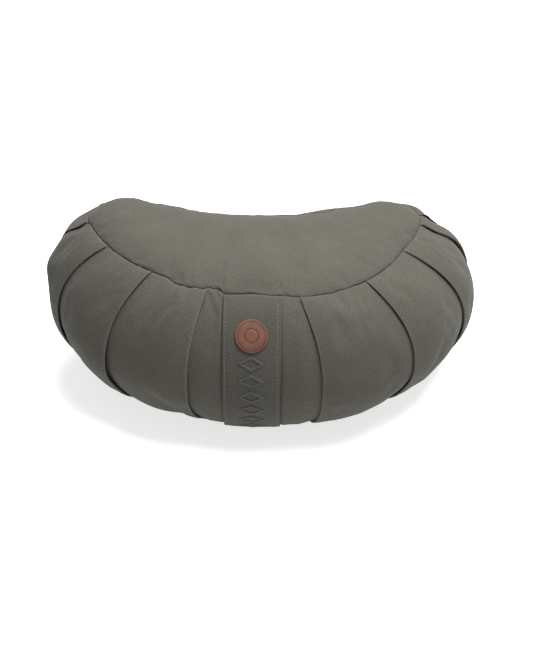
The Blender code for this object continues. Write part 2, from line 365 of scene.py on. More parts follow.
def front_columns(side, first, angle):
    """Places of the front panel's columns, crowded at the band's edge, and the cloth's dip at each."""
    edge = band_edge(side, angle)
    near = [edge + away for away, _ in EDGE_VALLEY]
    inner = [near[0] * i / BESIDE_BAND_STEPS for i in range(BESIDE_BAND_STEPS)]
    outer = [mix(near[-1], first, i / BESIDE_BAND_STEPS) for i in range(1, BESIDE_BAND_STEPS)]
    valley = [dip * opening(angle) for _, dip in EDGE_VALLEY]
    return list(zip(inner + near + outer, [0.0] * len(inner) + valley + [0.0] * len(outer)))


def half_strip(side, pleats, angle):
    """Each column of one half at this height: s, out, hold of the sewing, panel number."""
    columns = []
    before, edge_before = 0.0, 0.0
    for number, (at_seam, at_belly, edge, depth, steps) in enumerate(pleats):
        open_now = opening_behind(angle) if number >= FIRST_BEHIND else opening(angle)
        fold = mix(at_seam, at_belly, swing(angle))
        first = fold + depth * mix(FOLD[0][0], FOLD[0][1], open_now)
        puff = PANEL_PUFF * min(1.0, at_seam / PANEL_FULL_FROM)
        for s, dip in front_columns(side, first, angle) if number == 0 else ():
            columns.append((side * s, front_puff(s, pleats, angle) - dip, 0.0, number))
        for step in range(steps) if number else ():
            share = step / steps
            crown = puff * (1 - (2 * share - 1) ** 2)
            out = open_now * (edge_before * (1 - share) ** 1.5 + crown)
            hold = 0.0 if step else FOLD[-1][3]
            columns.append((side * mix(before, first, share), out, hold, number))
        lift, thicker = looseness(side, number, angle)
        edge += thicker
        for i, (flat, folded, height, hold) in enumerate(FOLD):
            lifted = lift if i > INSIDE_COLUMNS else 0.0
            place = fold + depth * mix(flat, folded, open_now)
            panel = number + (i > INSIDE_COLUMNS)
            columns.append((side * place, open_now * (edge * height + lifted), hold, panel))
        last = columns.pop()
        before, edge_before = abs(last[0]), edge + lift
    for step in range(BACK_STEPS + 1):
        share = step / BACK_STEPS
        crown = PANEL_PUFF * math.sin(share * math.pi / 2)
        out = open_now * (edge_before * (1 - share) ** 2 + crown)
        hold = 0.0 if step else FOLD[-1][3]
        columns.append((side * mix(before, HALF_SEAM, share), out, hold, len(pleats)))
    return columns


def strip(angle):
    """Every column at this height, once round the cushion from the front middle."""
    right = half_strip(1, PLEATS_RIGHT, angle)
    left = half_strip(-1, PLEATS_LEFT, angle)
    left = [(s, out, hold, -1 - panel) for s, out, hold, panel in left]
    return right + left[-2::-1]


print("columns round the cushion:", len(strip(0.0)))

# %% [markdown]
# ## Rows of the cover
#
# The whole cover is one grid: its columns go round the cushion and its rows go from the middle of the
# top, over the top seam, down the side, over the bottom seam and under to the floor. Rows crowd
# together at the seams, where the cloth dips into a groove a millimetre or so wide.

# %% Rows
NEAR_SEAM = (63.8, 63.5, 63.0, 62.1, 60.4, 57.6)
DOWN_THE_SIDE = [mix(54, -54, i / 34) for i in range(35)]
SIDE_ROWS = [math.radians(a) for a in (*NEAR_SEAM, *DOWN_THE_SIDE, *(-a for a in reversed(NEAR_SEAM)))]
TOP_SHARES = (0.90, 0.80, 0.69, 0.58, 0.47, 0.37, 0.28, 0.20, 0.135, 0.085, 0.050, 0.025, 0.012, 0.005)
# Rows under the cushion: share of the way in to the middle line, height over the floor.
UNDER_ROWS = (
    (0.010, 0.0105), (0.028, 0.0092), (0.06, 0.0078), (0.11, 0.0052), (0.17, 0.0026), (0.23, 0.0009),
    (0.29, 0.0),
)
CROWN_HEIGHT = 0.0112
GROOVE_DEPTH = 0.0024
GROOVE_WIDTH = 0.0008
SEAM_TO_SPINE = 0.075


def groove(distance):
    return -GROOVE_DEPTH * math.exp(-distance / GROOVE_WIDTH)


def gathered(s):
    """The place in the panel for a column: those of a fold are drawn together where they are sewn down."""
    for at_seam, _, _, depth, _ in PLEATS_LEFT if s < 0 else PLEATS_RIGHT:
        if abs(abs(s) - at_seam) <= depth * (FOLD[-1][0] + 0.02):
            return math.copysign(at_seam, s)
    return s


def panel_row(angle, share, height):
    row = []
    for s, _, _, _ in strip(angle):
        foot = wall_point(gathered(s), angle)
        flat = (foot.to_2d() - PATTERN_ORIGIN).lerp(spine_point(s), share)
        row.append(Vector((*(flat + PATTERN_ORIGIN), height(flat))))
    return row


def top_height(share):
    crown = CROWN_HEIGHT * (1 - (1 - share) ** 3) + groove(share * SEAM_TO_SPINE)
    rise = 2 * WALL_RISE * math.sin(SEAM_ANGLE)
    return lambda flat: BOTTOM_SEAM_HEIGHT + rise * settle(flat) + crown


def side_row(angle):
    dip = groove(wall_length(abs(angle)))
    row = []
    for s, out, _, _ in strip(angle):
        row.append(wall_point(s, angle, out + dip + swell(math.copysign(1, s), s, angle)))
    return row


rows = [panel_row(SEAM_ANGLE, share, top_height(share)) for share in TOP_SHARES]
top_seam_row = len(rows)
rows += [side_row(angle) for angle in SIDE_ROWS]
bottom_seam_row = len(rows) - 1
rows += [panel_row(-SEAM_ANGLE, share, lambda flat, clear=clear: clear) for share, clear in UNDER_ROWS]
print("rows", len(rows), "columns", len(rows[0]), "top seam is row", top_seam_row)

# %% [markdown]
# ## The weave's own map
#
# A twill's ribs run straight across a piece of cloth whatever shape it is pushed into, so each panel
# needs its own flat map. The crescents are mapped as seen from above. Each panel of the side is mapped
# by the length of cloth from its own middle, and from the top seam down.

# %% Cloth lengths
def cloth_across():
    """For each side row: the length of cloth from the first column to each other one."""
    table = []
    for row in rows[top_seam_row : bottom_seam_row + 1]:
        steps = [0.0] + [(b - a).length for a, b in zip(row, row[1:])]
        table.append(list(accumulate(steps)))
    return table


panel_of = [panel for _, _, _, panel in strip(0.0)]
across = cloth_across()
down = [wall_length(angle) for angle in SIDE_ROWS]
middle_column = {}
for panel in set(panel_of):
    members = [i for i, p in enumerate(panel_of) if p == panel]
    middle_column[panel] = members[len(members) // 2]
print("belly length of cloth, folds and all:", round(max(across, key=lambda r: r[-1])[-1], 3), "m")


def cloth_place(row, column, panel):
    """Place on the flat cloth of a point of the side, in metres."""
    line = across[row - top_seam_row]
    start = across[len(across) // 2][middle_column[panel]]
    return Vector((start + line[column] - line[middle_column[panel]], -down[row - top_seam_row]))


# %% [markdown]
# ## The cover as one mesh
#
# `create_grid` makes the flat strip, every point is moved to its row's place, and points that meet are
# merged: the two ends of the strip, and the folds where the panels hold them shut. Two holes are left,
# over the spine of the top and under the cushion, and they are filled.

# %% Cover
HELD_BESIDE_BAND = 0.004


def seam_distance(row):
    """Cloth from the nearest seam to this row: above zero on the side, below zero on the crescents."""
    if row < top_seam_row:
        return -TOP_SHARES[row] * SEAM_TO_SPINE
    if row > bottom_seam_row:
        return -UNDER_ROWS[row - bottom_seam_row - 1][0] * SEAM_TO_SPINE
    return wall_length(abs(SIDE_ROWS[row - top_seam_row]))


def new_piece(bm, name):
    """Makes the model an object of this name, smooth, and puts it into the scene."""
    mesh = bpy.data.meshes.new(name)
    bm.to_mesh(mesh)
    bm.free()
    mesh.shade_smooth()
    piece = bpy.data.objects.new(name, mesh)
    bpy.context.scene.collection.objects.link(piece)
    return piece


def make_cover():
    width = len(rows[0])
    bm = bmesh.new()
    bmesh.ops.create_grid(bm, x_segments=width - 1, y_segments=len(rows) - 1, size=1)
    hold_layer = bm.verts.layers.float.new("hold")
    edge_highlight_layer = bm.verts.layers.float.new("fold_edge_highlight")
    seam_layer = bm.verts.layers.float.new("from_seam")
    foot_layer = bm.verts.layers.float_vector.new("seam_foot")
    bm.verts.ensure_lookup_table()
    for r, row in enumerate(rows):
        on_side = top_seam_row <= r <= bottom_seam_row
        angle = SIDE_ROWS[min(max(r - top_seam_row, 0), len(SIDE_ROWS) - 1)]
        for c, (s, _, hold, _) in enumerate(strip(angle)):
            vertex = bm.verts[r * width + c]
            vertex.co = row[c]
            covered = band_edge(math.copysign(1, s), angle) + HELD_BESIDE_BAND
            under_band = on_side and abs(s) < covered
            sewn = r > bottom_seam_row or r in (top_seam_row, bottom_seam_row)
            vertex[hold_layer] = 1.0 if sewn or under_band else hold
            # The folded edges are marked here for the painted highlight that the twill gives them.
            vertex[edge_highlight_layer] = float(on_side and hold in EDGE_HOLDS)
            vertex[seam_layer] = seam_distance(r)
            vertex[foot_layer] = seam_point(s)[0].to_3d()
    uv = bm.loops.layers.uv.new("cloth")
    for face in bm.faces:
        cells = [divmod(loop.vert.index, width) for loop in face.loops]
        top_of_face = min(r for r, _ in cells)
        panel = panel_of[min(c for _, c in cells)]
        for loop, (r, c) in zip(face.loops, cells):
            if top_seam_row <= top_of_face < bottom_seam_row:
                loop[uv].uv = cloth_place(r, c, panel)
            else:
                loop[uv].uv = loop.vert.co.to_2d()
    bmesh.ops.remove_doubles(bm, verts=bm.verts, dist=1e-6)
    filled = bmesh.ops.holes_fill(bm, edges=bm.edges)["faces"]
    for face in bmesh.ops.triangulate(bm, faces=filled)["faces"]:
        for loop in face.loops:
            loop[uv].uv = loop.vert.co.to_2d()
    bmesh.ops.recalc_face_normals(bm, faces=bm.faces)
    return new_piece(bm, "cushion_cover")


cover = make_cover()
print("cover:", len(cover.data.vertices), "points,", len(cover.data.polygons), "faces")

# %% [markdown]
# ## Pressing the filling into it
#
# Cloth simulation gives the panels what no formula does: they swell between the lines that hold them
# and wrinkle where they are gathered. The seams, the folds and the underside are held, the cloth is cut
# a little larger than its place, and pressure pushes it out for twenty frames. A cap keeps every point
# near where the cushion's shape wants it.

# %% Cloth pass
CLOTH_GROWTH = 0.012
CLOTH_PRESSURE = 4.0
MOST_MOVE = 0.0035
SPREAD_OF_HOLD = 3
HOLD_FADE = 0.62
PRESS_FRAMES = 20


def spread_hold(mesh):
    """Lets the hold of the seams and folds fade over the next few rings of points."""
    hold = [0.0] * len(mesh.vertices)
    mesh.attributes["hold"].data.foreach_get("value", hold)
    neighbours = [[] for _ in hold]
    for edge in mesh.edges:
        a, b = edge.vertices
        neighbours[a].append(b)
        neighbours[b].append(a)
    for _ in range(SPREAD_OF_HOLD):
        hold = [max(own, HOLD_FADE * max(hold[n] for n in near)) for own, near in zip(hold, neighbours)]
    return hold


def press_filling(piece):
    """Simulates a copy and moves the piece's points the same way. Returns the furthest move, uncapped."""
    test = piece.copy()
    test.data = piece.data.copy()
    bpy.context.scene.collection.objects.link(test)
    group = test.vertex_groups.new(name="hold")
    for index, weight in enumerate(spread_hold(piece.data)):
        group.add([index], weight, "REPLACE")
    cloth = test.modifiers.new("cloth", "CLOTH")
    settings = cloth.settings
    settings.quality = 5
    settings.mass = 0.3
    settings.tension_stiffness = 15
    settings.compression_stiffness = 15
    settings.shear_stiffness = 5
    settings.bending_stiffness = 0.5
    settings.use_pressure = True
    settings.uniform_pressure_force = CLOTH_PRESSURE
    settings.vertex_group_mass = "hold"
    settings.shrink_min = -CLOTH_GROWTH
    settings.effector_weights.gravity = 0
    cloth.collision_settings.use_collision = False
    for moment in range(1, PRESS_FRAMES + 1):
        bpy.context.scene.frame_set(moment)
    graph = bpy.context.evaluated_depsgraph_get()
    pressed = test.evaluated_get(graph).to_mesh()
    moves = [after.co - before.co for after, before in zip(pressed.vertices, piece.data.vertices)]
    for vertex, move in zip(piece.data.vertices, moves):
        if move.length > MOST_MOVE:
            move = move.normalized() * MOST_MOVE
        vertex.co += move
    bpy.data.objects.remove(test)
    bpy.context.scene.frame_set(1)
    return max(move.length for move in moves)


print("furthest move under pressure", round(press_filling(cover) * 1000, 1), "mm")

# %% [markdown]
# ## Making it fine
#
# One level of subdivision rounds the folds and halves the spacing of the points, so that the creases
# and puckers that follow have enough points to show. It is applied here and no modifier is left.

# %% Fine mesh
def made_fine(piece):
    soft = piece.modifiers.new("soft", "SUBSURF")
    soft.levels = soft.render_levels = 1
    graph = bpy.context.evaluated_depsgraph_get()
    fine = bpy.data.meshes.new_from_object(piece.evaluated_get(graph))
    piece.modifiers.clear()
    piece.data = fine


made_fine(cover)
print("fine cover:", len(cover.data.vertices), "points", [a.name for a in cover.data.attributes][:12])

# %% [markdown]
# ## Creases and puckers
#
# Three kinds of small relief are left, and all three move points along the surface's own normal. The
# filling is lumpy under the cloth. The gathered seam puckers: short waves that die out within two
# centimetres. And a few panels carry a long crease each, a valley with a rounded ridge beside it,
# which runs between two places of the side.

# %% Small relief
LUMP_SIZE = 0.034
LUMP_HEIGHT = 0.0007
PUCKER_PITCH = 0.0085
PUCKER_HEIGHT = 0.00045
PUCKER_REACH = 0.011
PUCKER_START = 0.002
CRESCENT_REACH = 0.6
RESTING_BELOW = 0.004
# A crease starts at this share of its full depth. The ridge beside the valley: its distance and its
# spread, both in half widths of the valley.
CREASE_START = 0.12
RIDGE_AWAY = 1.7
RIDGE_SPREAD = 1.4
# Each crease: places on the side as (s in millimetres, angle in degrees), depth and half width of its
# valley in millimetres, height of the ridge beside it, the side that the ridge is on.
CREASES = (
    (((-79, 63), (-76, 49), (-88, 30), (-94, 14)), 1.5, 3.2, 1.5, 1),
    (((-67, 63), (-64, 50), (-68, 34)), 0.9, 2.8, 0.9, 1),
    (((-103, 63), (-108, 46), (-124, 20)), 0.6, 3.5, 0.4, 1),
    (((-51, 63), (-43, 54), (-35, 44)), 0.8, 2.4, 0.8, 1),
    (((-42, 63), (-36, 57)), 0.6, 1.8, 0.5, 1),
    (((-32, 63), (-30.5, 57)), 0.5, 1.6, 0.0, 1),
    (((37, 63), (39, 56)), 0.7, 1.8, 0.5, 1),
    (((88, 63), (87, 47), (84, 26)), 0.8, 3.0, 0.6, -1),
    (((99, 62), (94, 50), (92, 40), (98, 30)), 1.1, 2.4, 0.9, -1),
    (((56, 62), (61, 53), (69, 40), (72, 28)), 0.5, 2.8, 0.3, 1),
    (((75, 63), (76, 54)), 0.5, 2.2, 0.3, 1),
    (((134, 45), (138, 17), (136, -2)), -0.4, 2.6, 0.0, 1),
    (((150, 63), (150, 52), (156, 38)), 0.4, 2.6, 0.25, 1),
    (((-145, 63), (-146, 50), (-152, 34)), 0.4, 2.8, 0.25, -1),
    (((-210, 63), (-212, 46), (-218, 26)), 0.5, 3.0, 0.4, 1),
    (((210, 63), (214, 46), (220, 24)), 0.5, 3.0, 0.4, -1),
)


def lumps(place):
    return LUMP_HEIGHT * noise.noise(place / LUMP_SIZE)


def pucker(foot, from_seam):
    wave = noise.noise(foot / PUCKER_PITCH) + 0.5 * noise.noise(foot / PUCKER_PITCH * 2.3)
    reach = PUCKER_REACH if from_seam > 0 else PUCKER_REACH * CRESCENT_REACH
    away = abs(from_seam)
    return PUCKER_HEIGHT * wave * math.exp(-away / reach) * smooth(away / PUCKER_START)


def relief(mesh):
    """How far each point moves out for lumps and puckers."""
    moves = []
    feet, distances = mesh.attributes["seam_foot"].data, mesh.attributes["from_seam"].data
    for vertex, foot, away in zip(mesh.vertices, feet, distances):
        free = 0.0 if vertex.co.z < RESTING_BELOW else 1.0
        moves.append(free * (lumps(vertex.co) + pucker(foot.vector, away.value)))
    return moves


def fold_crease(mesh, moves, places, depth, half_width, ridge, ridge_side):
    """Adds one crease to the moves of the points near it."""
    line = [wall_point(s / 1000, math.radians(angle), PANEL_PUFF) for s, angle in places]
    lengths = [0.0, *accumulate((b - a).length for a, b in zip(line, line[1:]))]
    reach = half_width / 1000 * 4
    low = Vector([min(p[i] for p in line) - reach for i in range(3)])
    high = Vector([max(p[i] for p in line) + reach for i in range(3)])
    for vertex in mesh.vertices:
        co = vertex.co
        if not all(low[i] < co[i] < high[i] for i in range(3)):
            continue
        near = None
        for a, b, start in zip(line, line[1:], lengths):
            step = b - a
            share = min(1.0, max(0.0, (co - a).dot(step) / step.length_squared))
            gap = co - a - step * share
            if near is None or gap.length < near[0].length:
                near = (gap, step, start + step.length * share)
        gap, step, run = near
        if gap.length > reach:
            continue
        across_line = gap.dot(step.cross(vertex.normal).normalized()) * 1000 / half_width
        fade = math.sin(math.pi * min(1.0, max(0.0, mix(CREASE_START, 1.0, run / lengths[-1])))) ** 0.7
        valley = -depth * math.exp(-(across_line**2))
        bank = ridge * math.exp(-((across_line + ridge_side * RIDGE_AWAY) ** 2) / RIDGE_SPREAD)
        moves[vertex.index] += (valley + bank) * fade / 1000


moves = relief(cover.data)
for crease in CREASES:
    fold_crease(cover.data, moves, *crease)
normals = [vertex.normal.copy() for vertex in cover.data.vertices]
for vertex, normal, move in zip(cover.data.vertices, normals, moves):
    vertex.co += normal * move
print("deepest", round(min(moves) * 1000, 2), "mm, highest", round(max(moves) * 1000, 2), "mm")

# %% [markdown]
# ## The band down the front
#
# The band is a strip of the same twill with its edges turned under, sewn on with two rows of stitches.
# Everything on it is modelled flat, as a sewer lays it out on the table, and then laid on the cushion
# by one function: across becomes the place along the seam, up and down becomes the place on the side.

# %% Places on the band
BAND_STEPS = 240


def band_point(across_band, angle, out):
    side = math.copysign(1, across_band)
    edge = side * band_edge(side, angle)
    s = mix(BAND_MIDDLE, edge, abs(across_band) / (BAND_WIDTH / 2))
    pleats = PLEATS_LEFT if s < 0 else PLEATS_RIGHT
    dip = groove(wall_length(abs(angle)))
    return wall_point(s, angle, front_puff(s, pleats, angle) + dip + out)


band_angles = [mix(SEAM_ANGLE, -SEAM_ANGLE, i / BAND_STEPS) for i in range(BAND_STEPS + 1)]
band_line = [wall_point(BAND_MIDDLE, angle, PANEL_PUFF) for angle in band_angles]
band_runs = [0.0, *accumulate((b - a).length for a, b in zip(band_line, band_line[1:]))]
BAND_LENGTH = band_runs[-1]


def band_angle(down_band):
    """The angle of the side at a length of band below the top seam."""
    down_band = min(BAND_LENGTH, max(0.0, down_band))
    index = next(i for i, run in enumerate(band_runs[1:]) if run >= down_band - 1e-9)
    share = (down_band - band_runs[index]) / (band_runs[index + 1] - band_runs[index])
    return mix(band_angles[index], band_angles[index + 1], share)


def lay_on_band(bm):
    """Lays a flat model on the cushion: x across the band, y up from the bottom seam, z out."""
    for vertex in bm.verts:
        x, y, z = vertex.co
        vertex.co = band_point(x, band_angle(BAND_LENGTH - y), z)


def inset_face(bm, face, thickness, depth):
    """One more ring inside the face, raised or sunk by depth."""
    bmesh.ops.inset_region(
        bm, faces=[face], thickness=thickness, depth=depth, use_boundary=True, use_even_offset=True
    )


def finished_piece(bm, name):
    piece = new_piece(bm, name)
    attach(piece, "root")
    print(name, len(piece.data.polygons), "faces")
    return piece


print("band", round(BAND_LENGTH * 1000), "mm from seam to seam")

# %% [markdown]
# A flat grid makes the band, with its columns crowded at the edges, where the turned-in cloth rolls
# over, and at the stitch line, which pulls a shallow channel and pinches the cloth from stitch to
# stitch. Its ends dive into the seams. The weave's map is shifted, so that the band's ribs don't run on
# from the cover's.

# %% Band
# From the edge to the middle, in millimetres: distance from the middle, height over the cover.
EDGE_PROFILE = (
    (28.1, 0.80), (27.9, 1.20), (27.4, 1.48), (26.6, 1.50), (26.0, 1.32), (25.4, 1.00), (24.8, 1.28),
    (24.0, 1.50), (22.0, 1.56), (18.5, 1.55), (15.0, 1.5), (11.2, 1.5), (7.4, 1.5), (3.7, 1.5), (0.0, 1.5),
)
BAND_ROWS = 44
FIRST_ROW = 0.0065
END_ROWS = (0.0, 0.0012, 0.0026, 0.0045)
BAND_CLOTH = 0.0006
STITCH_LINE = 0.0254
STITCH_PITCH = 0.0034
RIPPLE_HEIGHT = 0.00022
RIPPLE_ACROSS = 0.012
RIPPLE_DOWN = 0.03
PINCH_HEIGHT = 0.00012
PINCH_WIDTH = 2.5
SEAM_TUCK = 0.0035
TUCK_DEPTH = 0.0012
WEAVE_SHIFT = Vector((0.31, 0.17))


def band_height(across_band, up_band):
    """Height of the band's cloth over the cover."""
    width = abs(across_band) * 1000
    for (wide, high), (narrow, low) in zip(EDGE_PROFILE, EDGE_PROFILE[1:]):
        if width >= narrow:
            break
    height = mix(high, low, min(1.0, (wide - width) / (wide - narrow))) / 1000
    ripple = RIPPLE_HEIGHT * noise.noise(Vector((across_band / RIPPLE_ACROSS, up_band / RIPPLE_DOWN, 0.4)))
    near_stitch = math.exp(-(((width - STITCH_LINE * 1000) / PINCH_WIDTH) ** 2))
    pinch = PINCH_HEIGHT * near_stitch * math.sin(up_band * 2 * math.pi / (2 * STITCH_PITCH))
    out_of_seam = smooth(min(up_band, BAND_LENGTH - up_band) / SEAM_TUCK)
    return (height + ripple + pinch) * out_of_seam - TUCK_DEPTH * (1 - out_of_seam)


def make_band():
    half = [x / 1000 for x, _ in EDGE_PROFILE]
    xs = [-x for x in half] + half[-2::-1]
    middle = [mix(FIRST_ROW, BAND_LENGTH - FIRST_ROW, i / BAND_ROWS) for i in range(BAND_ROWS + 1)]
    ys = [*END_ROWS, *middle, *(BAND_LENGTH - end for end in reversed(END_ROWS))]
    bm = bmesh.new()
    bmesh.ops.create_grid(bm, x_segments=len(xs) - 1, y_segments=len(ys) - 1, size=1)
    bm.verts.ensure_lookup_table()
    uv = bm.loops.layers.uv.new("cloth")
    for index, vertex in enumerate(bm.verts):
        row, column = divmod(index, len(xs))
        vertex.co = (xs[column], ys[row], band_height(xs[column], ys[row]))
    for face in bm.faces:
        for loop in face.loops:
            loop[uv].uv = loop.vert.co.to_2d() + WEAVE_SHIFT
    lay_on_band(bm)
    return finished_piece(bm, "band")


band = make_band()
wall = band.modifiers.new("cloth", "SOLIDIFY")
wall.thickness = BAND_CLOTH
wall.offset = -1
soft = band.modifiers.new("soft", "SUBSURF")
soft.levels = soft.render_levels = 1
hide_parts("front_band")

# %% [markdown]
# ## Stitches on the band
#
# A machine stitch shows as a short grain of thread, its ends pulled down into the cloth. There are
# more than a hundred, so each is a sphere of few faces, stretched and laid in its channel.

# %% Band stitches
STITCH_START = 0.006
STITCH_LENGTH = 0.0025
THREAD_WIDTH = 0.00062
THREAD_FLATNESS = 0.4
STITCH_LIFT = 0.0001


def add_stitch(bm, x, y, z, turn, length, width):
    """One grain of thread that lies along y, turned about z."""
    place = Matrix.Translation((x, y, z)) @ Matrix.Rotation(turn, 4, "Z")
    shape = Matrix.Diagonal((width / 2, length / 2, width * THREAD_FLATNESS, 1))
    bmesh.ops.create_uvsphere(bm, u_segments=8, v_segments=5, radius=1, matrix=place @ shape)


def make_band_stitches():
    bm = bmesh.new()
    count = int((BAND_LENGTH - 2 * STITCH_START) / STITCH_PITCH)
    for x in (-STITCH_LINE, STITCH_LINE):
        for i in range(count):
            y = STITCH_START + i * STITCH_PITCH
            add_stitch(bm, x, y, band_height(x, y) + STITCH_LIFT, 0.0, STITCH_LENGTH, THREAD_WIDTH)
    lay_on_band(bm)
    return finished_piece(bm, "band_stitches")


band_stitches = make_band_stitches()

# %% [markdown]
# ## A raised ornament
#
# Below the patch the band carries raised embroidery in the band's own colour. Its thread is drawn darker than
# the band's cloth all the same: painted shade for the shadows round the raised frames. Here it is a plain
# chain of lozenges. Each frame starts as a circle of four sides. Five insets raise it to a rounded ridge and
# bring it down again, the middle is taken out, and its long edges are divided so that they can bend with the
# cushion.

# %% Lozenges
LOZENGE_WIDTH = 0.0275
LOZENGE_HEIGHT = 0.0150
LOZENGE_PITCH = 0.0178
LOZENGE_COUNT = 6
ORNAMENT_TOP = 0.0715
ORNAMENT_SINK = 0.0001
LONG_EDGE = 0.003
LONG_EDGE_CUTS = 5
RIDGE_STEPS = ((0.0003, 0.0007), (0.0005, 0.0004), (0.0010, 0.0), (0.0005, -0.0004), (0.0003, -0.0007))


def make_lozenge(bm, y):
    shape = Matrix.Diagonal((LOZENGE_WIDTH / 2, LOZENGE_HEIGHT / 2, 1, 1))
    place = Matrix.Translation((0, y, 0)) @ shape
    made = bmesh.ops.create_circle(bm, cap_ends=True, segments=4, radius=1, matrix=place)
    middle = made["verts"][0].link_faces[0]
    for thickness, depth in RIDGE_STEPS:
        inset_face(bm, middle, thickness, depth)
    bmesh.ops.delete(bm, geom=[middle], context="FACES")


def make_ornament():
    bm = bmesh.new()
    for i in range(LOZENGE_COUNT):
        make_lozenge(bm, BAND_LENGTH - ORNAMENT_TOP - i * LOZENGE_PITCH)
    long_edges = [edge for edge in bm.edges if edge.calc_length() > LONG_EDGE]
    bmesh.ops.subdivide_edges(bm, edges=long_edges, cuts=LONG_EDGE_CUTS, use_grid_fill=True)
    for vertex in bm.verts:
        vertex.co.z += band_height(vertex.co.x, vertex.co.y) - ORNAMENT_SINK
    lay_on_band(bm)
    return finished_piece(bm, "band_ornament")


ornament = make_ornament()

# %% [markdown]
# ## The leather patch
#
# A round patch of vegetable-tanned leather, a millimetre and a half thick, cut with a punch. Its rim is
# burnished round, a channel runs inside the rim for the stitches, and a plain ring is pressed in the
# middle. A circle with insets gives all of these: each inset is one ring, and its depth raises or sinks
# it.

# %% Patch
PATCH_RADIUS = 0.0160
PATCH_UP = BAND_LENGTH - 0.0449
# From the rim inwards: width of the ring, how far it rises.
PATCH_RINGS = (
    (0.00010, 0.0012), (0.00015, 0.00025), (0.0003, 0.00010), (0.0012, 0.00002), (0.00035, -0.00010),
    (0.0004, -0.00006), (0.0004, 0.00006), (0.00035, 0.00010), (0.0022, 0.0), (0.0022, 0.0), (0.0012, 0.0),
    (0.0003, -0.00022), (0.0007, 0.0), (0.0003, 0.00022), (0.0015, 0.0), (0.0010, 0.0),
)
PRESSED_RING = 12
ring_edge = PATCH_RADIUS - sum(step for step, _ in PATCH_RINGS[:PRESSED_RING])
PRESSED_RADIUS = ring_edge - PATCH_RINGS[PRESSED_RING][0] / 2
PATCH_SIDES = 96
PATCH_SEAT = 0.0002
# Widths of the burnish on the rim, of its fade, and on each side of the pressed ring's middle.
RIM_BURNISH = 0.0005
BURNISH_FADE = 0.0004
PRESSED_BURNISH = 0.0006
RIM_RINGS = 4
PATCH_STITCHES = 38
PATCH_STITCH_RADIUS = PATCH_RADIUS - 0.00247
PATCH_STITCH_LENGTH = 0.0014
PATCH_STITCH_WIDTH = 0.0010


def make_patch():
    bm = bmesh.new()
    bmesh.ops.create_circle(bm, cap_ends=True, segments=PATCH_SIDES, radius=PATCH_RADIUS)
    bm.faces.ensure_lookup_table()
    middle = bm.faces[0]
    under = band_height(0.0, PATCH_UP) + PATCH_SEAT
    for thickness, depth in PATCH_RINGS:
        inset_face(bm, middle, thickness, depth)
    bmesh.ops.poke(bm, faces=[middle])
    ring_layer = bm.verts.layers.float.new("burnish")
    for vertex in bm.verts:
        radius = vertex.co.to_2d().length
        pressed = abs(radius - PRESSED_RADIUS) < PRESSED_BURNISH
        on_rim = smooth((radius - PATCH_RADIUS + RIM_BURNISH) / BURNISH_FADE)
        vertex[ring_layer] = 1.0 if pressed else on_rim
        vertex.co += Vector((0, PATCH_UP, under))
    lay_on_band(bm)
    return finished_piece(bm, "leather_patch_round")


def make_patch_stitches():
    bm = bmesh.new()
    rim = sum(depth for _, depth in PATCH_RINGS[:RIM_RINGS])
    high = band_height(0.0, PATCH_UP) + PATCH_SEAT + rim + STITCH_LIFT
    for i in range(PATCH_STITCHES):
        turn = 2 * math.pi * i / PATCH_STITCHES
        x = PATCH_STITCH_RADIUS * math.cos(turn)
        y = PATCH_STITCH_RADIUS * math.sin(turn) + PATCH_UP
        add_stitch(bm, x, y, high, turn, PATCH_STITCH_LENGTH, PATCH_STITCH_WIDTH)
    lay_on_band(bm)
    return finished_piece(bm, "patch_stitches")


patch = make_patch()
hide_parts("leather_patch")
patch_stitches = make_patch_stitches()

# %% [markdown]
# ## Helpers for the finishes
#
# Each finish is a Principled shader fed by a few texture nodes, and the same steps come back in all of
# them: a noise, a factor made from it, two colours mixed, and a bump. So each is written once here.

# %% Colour and node helpers
def linear(hex_colour):
    """An sRGB hex value as linear red, green, blue and full alpha."""
    channels = [int(hex_colour[i : i + 2], 16) / 255 for i in (1, 3, 5)]
    return (*[c / 12.92 if c <= 0.04045 else ((c + 0.055) / 1.055) ** 2.4 for c in channels], 1.0)


def add_node(material, kind, links=(), **settings):
    """Adds a node, sets its properties and sockets by name, and links its inputs from other sockets."""
    node = material.node_tree.nodes.new(kind)
    for name, value in settings.items():
        if name[:1].isupper():
            node.inputs[name.replace("_", " ")].default_value = value
        else:
            setattr(node, name, value)
    for target, source in links:
        material.node_tree.links.new(source, node.inputs[target])
    return node


def new_material(name):
    material = bpy.data.materials.new(name)
    material.use_nodes = True
    return material, material.node_tree.nodes["Principled BSDF"]


def noisy(material, place, scale, detail, roughness=0.5):
    node = add_node(
        material, "ShaderNodeTexNoise", [("Vector", place)], Scale=scale, Detail=detail, Roughness=roughness
    )
    return node.outputs["Fac"]


def varied(material, source, low, high, first=0.3, last=0.7):
    """A factor from low to high. Nearly all of a noise lies between 0.3 and 0.7."""
    node = add_node(
        material, "ShaderNodeMapRange", [("Value", source)],
        From_Min=first, From_Max=last, To_Min=low, To_Max=high,
    )
    return node.outputs["Result"]


def combined(material, operation, one, other):
    node = add_node(material, "ShaderNodeMath", [(0, one), (1, other)], operation=operation)
    return node.outputs["Value"]


def two_colours(material, share, first, second):
    node = add_node(material, "ShaderNodeMix", [("Factor", share)], data_type="RGBA")
    node.inputs["A"].default_value = first
    node.inputs["B"].default_value = second
    return node.outputs["Result"]


def colour_and_bump(material, shader, colour, factor, height, strength, distance):
    """Links the shader to a colour, scaled by a factor, and to a bump. A colour may be a plain value."""
    tint = add_node(material, "ShaderNodeVectorMath", [(3, factor)], operation="SCALE")
    if isinstance(colour, tuple):
        tint.inputs[0].default_value = colour[:3]
    else:
        material.node_tree.links.new(colour, tint.inputs[0])
    bump = add_node(material, "ShaderNodeBump", [("Height", height)], Strength=strength, Distance=distance)
    material.node_tree.links.new(tint.outputs["Vector"], shader.inputs["Base Color"])
    material.node_tree.links.new(bump.outputs["Normal"], shader.inputs["Normal"])


